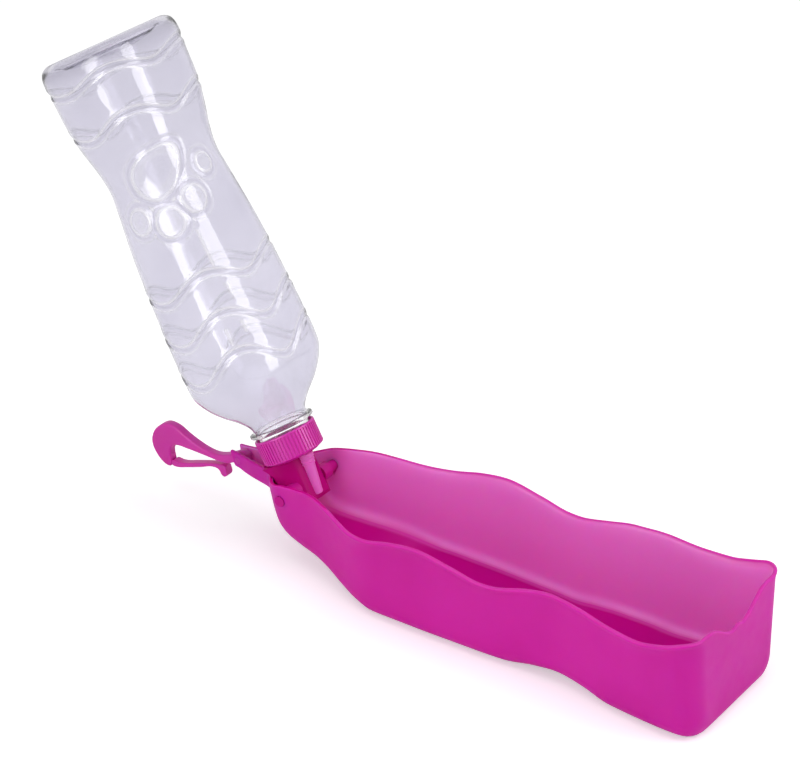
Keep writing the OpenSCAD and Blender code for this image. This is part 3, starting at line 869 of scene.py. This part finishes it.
def face_out(obj, out=True):
    """Turns every face of a piece round the bottle's axis outward, or all of them inward."""
    turn = BOTTLE_PLACE.to_3x3().inverted()
    wrong = sum(1 for f in obj.data.polygons
                if ((turn @ f.normal).xy.dot((TO_BOTTLE @ f.center).xy) > 0) != out)
    if wrong > len(obj.data.polygons) / 2:
        pick(obj, faces=lambda f: True)
        bpy.ops.mesh.flip_normals()
        leave()


bottle = skin("bottle_skin", 0, 1.0)
face_out(bottle)
paint_relief_lines(bottle)
inside = skin("bottle_inside", INNER_WALL, INNER_SHARE)
face_out(inside, out=False)

# %% [markdown]
# The neck is stiffer than the body. It carries the wide ring that stops the cap and the thread
# that the cap screws onto. Both sit on a turned tube: a circle is extruded ring by ring along
# its own profile, and the thread is a thin rib that climbs round it.

# %% Neck with its ring


def turned(name, profile, sides=128):
    """Extrudes a circle ring by ring along (radius, height) in millimetres."""
    nothing()
    r0, z0 = profile[0]
    bpy.ops.mesh.primitive_circle_add(vertices=sides, radius=r0, location=(0, 0, z0))
    obj = bpy.context.active_object
    obj.name = name
    bpy.ops.object.transform_apply(location=True)
    bpy.ops.object.mode_set(mode="EDIT")
    bpy.ops.mesh.select_all(action="SELECT")
    for (ra, za), (rb, zb) in zip(profile, profile[1:]):
        bpy.ops.mesh.extrude_edges_move(TRANSFORM_OT_translate={"value": (0, 0, zb - za)})
        bpy.ops.transform.resize(value=(rb / ra, rb / ra, 1), center_override=(0, 0, zb))
    leave()
    tidy_shell(obj, 1e-4)
    return obj


NECK = [
    (10.9, 17.35), (12.3, 17.35), (12.5, 17.55), (12.5, 28.6), (12.7, 29.0), (15.4, 29.1),
    (15.7, 29.35), (15.7, 30.55), (15.4, 30.8), (13.0, 30.9), (11.4, 30.9), (10.9, 30.6),
    (10.9, 17.35)]
neck = turned("neck", NECK)

# %% Thread on the neck
TURNS, PITCH, LOW, STEPS = 1.6, 3.6, 19.3, 120
ROOT, RIB = 12.55, 0.62
nothing()
bpy.ops.mesh.primitive_circle_add(vertices=6, radius=RIB, fill_type="NGON")
thread = bpy.context.active_object
thread.name = "thread"
bpy.ops.object.mode_set(mode="EDIT")
bpy.ops.mesh.select_all(action="SELECT")
for _ in range(STEPS):
    bpy.ops.mesh.extrude_region_move(TRANSFORM_OT_translate={"value": (0, 0, 1)})
leave()
for v in thread.data.vertices:
    s = v.co.z / STEPS
    fade = min(1.0, min(s, 1 - s) * 14 + 0.25)
    a = 2 * math.pi * TURNS * s
    out = ROOT + v.co.x * fade
    v.co = (out * math.cos(a), out * math.sin(a), LOW + PITCH * TURNS * s + v.co.y * fade)
tidy_shell(thread, 1e-4)

# %% Close the wall at the neck, and make one piece of it all
# The neck and its thread are painted bright, as painted light, and stay clear.
NECK_PAINTED_LIGHT = 2.0
SKIN_LOW = 0.031
bottle = join("bottle_skin", [bottle, inside])
pick(bottle, edges=lambda a, b: max((TO_BOTTLE @ a).z, (TO_BOTTLE @ b).z) < SKIN_LOW)
bpy.ops.mesh.bridge_edge_loops()
bpy.ops.mesh.select_all(action="DESELECT")
bpy.ops.mesh.select_non_manifold()
leave()
print("open edges left in the bottle's skin:", sum(e.select for e in bottle.data.edges))
for part in (neck, thread):
    place(part, BOTTLE_PLACE @ MILLIMETRES)
    mark(part, "painted_line", [NECK_PAINTED_LIGHT] * len(part.data.vertices))
    smooth(part, 40)
smooth(bottle, 60)
bottle = join("bottle_skin", [bottle, neck, thread])
seat(bottle, "bottle", "clear_bottle", bottle_mat, "bottle")

# %% [markdown]
# The cap is the heart of the product: a screw cap with fine grip ribs, moulded together with
# a block that carries the hinge pins and a leg that stops the bottle from leaning too far. The
# skirt is turned like the neck, then every other pair of its side faces is pushed out for ribs.

# %% Cap skirt with grip ribs
RIBS, RIB_OUT = 56, 0.5
SKIRT = [
    (0.01, 14.0), (11.4, 14.0), (11.9, 14.1), (14.6, 15.3), (14.9, 15.8), (14.9, 26.3),
    (14.85, 26.9), (14.6, 27.25), (14.1, 27.3), (13.85, 27.1), (13.8, 26.6), (13.8, 15.8),
    (0.01, 15.8)]
cap = turned("cap_skirt", SKIRT, sides=RIBS * 4)


def on_rib(f):
    """Two side faces out of every four carry a rib."""
    step = math.degrees(math.atan2(f.center.y, f.center.x)) / (360 / RIBS / 4)
    return (15.9 < f.center.z < 26.2 and f.center.xy.length > 14.5
            and round(step - 0.5) % 4 < 2)


pick(cap, faces=on_rib)
bpy.ops.mesh.extrude_region_shrink_fatten(TRANSFORM_OT_shrink_fatten={"value": -RIB_OUT})
leave()
modify(cap, "BEVEL", width=0.09, segments=2, limit_method="ANGLE", angle_limit=math.radians(40))

# %% [markdown]
# Block, leg and hook are flat shapes with rounded edges. Each outline is drawn as a closed
# curve, thickened and rounded by the curve's own extrude and bevel, and turned into a mesh.

# %% Flat shapes from an outline


def flat_shape(name, outline, thick, soft, smooth_line=False, res=6):
    """Outline as (x, z) in millimetres, thick across y, edges rounded by soft."""
    curve = bpy.data.curves.new(name, "CURVE")
    curve.dimensions = "2D"
    curve.fill_mode = "BOTH"
    curve.extrude = thick / 2 - soft
    curve.bevel_depth = soft
    curve.bevel_resolution = 3
    curve.offset = -soft
    curve.resolution_u = res
    kind = "BEZIER" if smooth_line else "POLY"
    line = curve.splines.new(kind)
    pts = line.bezier_points if smooth_line else line.points
    pts.add(len(outline) - 1)
    for pt, (x, z) in zip(pts, outline):
        if smooth_line:
            pt.co = (x, z, 0)
            pt.handle_left_type = pt.handle_right_type = "AUTO"
        else:
            pt.co = (x, z, 0, 1)
    line.use_cyclic_u = True
    obj = bpy.data.objects.new(name, curve)
    bpy.context.scene.collection.objects.link(obj)
    only(obj)
    bpy.ops.object.convert(target="MESH")
    obj = bpy.context.active_object
    obj.data.transform(Matrix.Rotation(math.pi / 2, 4, "X"))
    tidy_shell(obj, 1e-4)
    return obj


# %% [markdown]
# The block under the skirt is cut to a rounded front by a second shape. The leg ends flat on
# the tongue, although it leans with the bottle. Each hinge pin has a collar that fills the gap
# between the block and the cheek.

# %% Block and leg of the cap
LEG_FOOT = -2.95
BLOCK_THICK, LEG_THICK, BLOCK_FRONT = 28, 12.4, 13


def foot_at(d):
    """Height along the leaned axis at which the leg meets the tongue."""
    return (LEG_FOOT - d * math.sin(LEAN)) / math.cos(LEAN)


BLOCK = [(-10.4, 14.5), (-8.4, 12.6), (-5.9, 9.8), (-4.2, 3), (-3.4, -6.2), (-2.2, -8.2),
         (0.4, -9.3), (2.6, -8.8), (4, -7.2), (4.9, 8), (8.4, 14.5)]
LEG = [(-15.1, 17.5), (-15.4, 15), (-15.4, foot_at(-15.4)), (-10.2, foot_at(-10.2)),
       (-7, 9.6), (-7, 15), (-11, 17.5)]
block = flat_shape("block", BLOCK, BLOCK_THICK, 0.6)
nothing()
bpy.ops.mesh.primitive_cube_add(size=1)
rounder = bpy.context.active_object
place(rounder, Matrix.Translation((-6.3, 0, 2)) @ Matrix.Diagonal((22.6, 28.2, 40, 1)))
pick(rounder, edges=lambda a, b: a.x > 0 and b.x > 0 and abs(a.z - b.z) > 30)
bpy.ops.mesh.bevel(offset=BLOCK_FRONT, segments=20)
leave()
modify(block, "BOOLEAN", operation="INTERSECT", object=rounder, solver="EXACT")
bpy.data.objects.remove(rounder)
leg = flat_shape("leg", LEG, LEG_THICK, 0.5)

# %% Hinge pins, and the cap as one piece
COLLAR = [(2.3, -3.5), (4.0, -3.5), (4.0, 2.0), (3.6, 2.4), (2.3, 2.4), (2.3, -3.5)]
PIN_OUT, COLLAR_OUT = 16.7, 12.4
# Painted light and painted shade on the cap: the block, the leg and the pins are painted in the
# shade colour, the skirt a little towards the light colour.
SKIRT_PAINTED_LIGHT, BLOCK_PAINTED_LIGHT, PIN_PAINTED_LIGHT = 0.62, 0.0, 0.1
pins = []
for s in (-1, 1):
    nothing()
    bpy.ops.mesh.primitive_cylinder_add(vertices=48, radius=2.6, depth=11.6, location=(0, 0, 0))
    pin = bpy.context.active_object
    pick(pin, faces=lambda f: f.normal.z > 0.9)
    bpy.ops.mesh.inset(thickness=0.5)
    leave()
    pick(pin, faces=lambda f: f.normal.z < -0.9)
    bpy.ops.mesh.inset(thickness=0.01)
    leave()
    modify(pin, "BEVEL", width=0.4, segments=3, limit_method="ANGLE", angle_limit=math.radians(60))
    outward = Matrix.Rotation(-s * math.pi / 2, 4, "X")
    place(pin, Matrix.Translation((0, s * PIN_OUT, 0)) @ outward)
    collar = turned("pin_collar", COLLAR, 48)
    place(collar, Matrix.Translation((0, s * COLLAR_OUT, 0)) @ outward)
    pins += [pin, collar]
lights = [(cap, SKIRT_PAINTED_LIGHT), (block, BLOCK_PAINTED_LIGHT), (leg, BLOCK_PAINTED_LIGHT)]
for part, light in lights + [(pin, PIN_PAINTED_LIGHT) for pin in pins]:
    mark(part, "painted_light_and_shade", [light] * len(part.data.vertices))
cap = join("cap_body", [cap, block, leg] + pins)
place(cap, BOTTLE_PLACE @ MILLIMETRES)
smooth(cap, 32)
modify(cap, "WEIGHTED_NORMAL", keep_sharp=True)
seat(cap, "cap", "cap_plastic", cap_mat, "screw_cap")

# %% [markdown]
# The nozzle is the short bored tube that pours into the bow of the trough. It has a collar
# with two grooves where it is pressed into the cap.

# %% Nozzle
NOZZLE_TILT = Matrix.Rotation(math.radians(10.8), 4, "Y")
NOZZLE_PLACE = BOTTLE_PLACE @ Matrix.Translation(Vector((5, 0, 7.6)) / 1000) @ NOZZLE_TILT
TUBE = [
    (1.6, -13.9), (2.75, -13.9), (3.05, -13.5), (3.1, -2.0), (3.15, 0.9), (3.45, 1.1),
    (3.5, 1.7), (3.2, 2.0), (3.2, 2.3), (3.6, 2.6), (3.6, 3.4), (3.3, 3.7), (3.3, 4.0),
    (3.7, 4.3), (3.7, 6.3), (2.8, 6.4), (2.8, 7.5), (1.6, 7.6), (1.6, -13.9)]
nozzle = turned("nozzle_tube", TUBE, sides=64)
place(nozzle, NOZZLE_PLACE @ MILLIMETRES)
smooth(nozzle, 32)
seat(nozzle, "cap", "nozzle_plastic", nozzle_mat, "nozzle")

# %% [markdown]
# The belt hook is a flat loop with a soft edge, closed by a springy gate that grows out of its
# big end. A belt pushes the gate in, and it springs back against the nose.

# %% Hook
HOOK_THICK = 5.0
HOOK_LINE = [
    (-34.2, 2.2), (-36.0, 4.4), (-38.6, 4.5), (-41.4, 2.6), (-45.9, 0.3), (-50, -1.3),
    (-53.6, -2), (-58.6, -1.7), (-64.3, -0.3), (-71.4, 2.3), (-76, 4.5), (-79.4, 5.2),
    (-82, 5.2), (-84.4, 4.4), (-87.4, 2.1), (-89.7, -0.4), (-91.2, -3.4), (-91.8, -6.7),
    (-91.2, -9.9), (-89.6, -12.8), (-87.3, -15.4), (-84.9, -17.1), (-82.4, -18),
    (-80.6, -17.7), (-79.9, -16.2), (-80.0, -13.6), (-80.6, -11.0), (-80.4, -8.6),
    (-79.2, -6.3), (-76.8, -5.1), (-69.9, -4.8), (-61.9, -4.9), (-55.9, -5.1), (-49.9, -5.3),
    (-45.4, -4.6), (-41.6, -2.9), (-38.4, -3.2), (-35.4, -2.6), (-33.7, -0.2)]
hook = flat_shape("belt_hook", HOOK_LINE, HOOK_THICK, 1.1, smooth_line=True, res=5)
place(hook, Matrix.Translation(at_hinge(0, 0, 0)) @ MILLIMETRES)
trunnion = round_bar("trunnion", 1.5, 9.6, TRUNNION_AT, 48)
modify(trunnion, "BEVEL", width=0.0003, segments=2, limit_method="ANGLE",
       angle_limit=math.radians(60))
hook = join("belt_hook", [hook, trunnion])
smooth(hook, 40)
seat(hook, "hook", "hook_plastic", hook_mat, "hook")

# %% Gate
ROOT_AT, ROOT_ROUND = (-78.1, -15.4), 1.7
turns = [math.radians(a) for a in (70, 110, 150, 190, 230, 280)]
gate_line = [(ROOT_AT[0] + ROOT_ROUND * math.cos(a), ROOT_AT[1] + ROOT_ROUND * math.sin(a))
             for a in turns]
gate_line += [
    (-69.8, -14.9), (-62.4, -12.3), (-53.5, -9.3), (-50.8, -9.9), (-49.3, -12),
    (-47.8, -12.6), (-46.6, -11.9), (-46, -10.6), (-46.5, -8.4), (-47.3, -6.9), (-48.9, -6.6),
    (-52.3, -7.2), (-57.9, -8.7), (-65.8, -11.2), (-74.8, -13.9)]
gate = flat_shape("hook_gate_arm", gate_line, HOOK_THICK, 0.7, smooth_line=True, res=5)
place(gate, Matrix.Translation(at_hinge(0, 0, 0)) @ MILLIMETRES)
smooth(gate, 40)
seat(gate, "gate", "hook_plastic", hook_mat, "hook_gate")

# %% [markdown]
# The sealing liner hides between the cap and the mouth. Its CAD shape is right, so it keeps
# its mesh and only takes its foam.

# %% Liner
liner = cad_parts["cap_liner"]
for held in liner.material_slots:
    held.material = liner_mat
if not liner.material_slots:
    liner.data.materials.append(liner_mat)
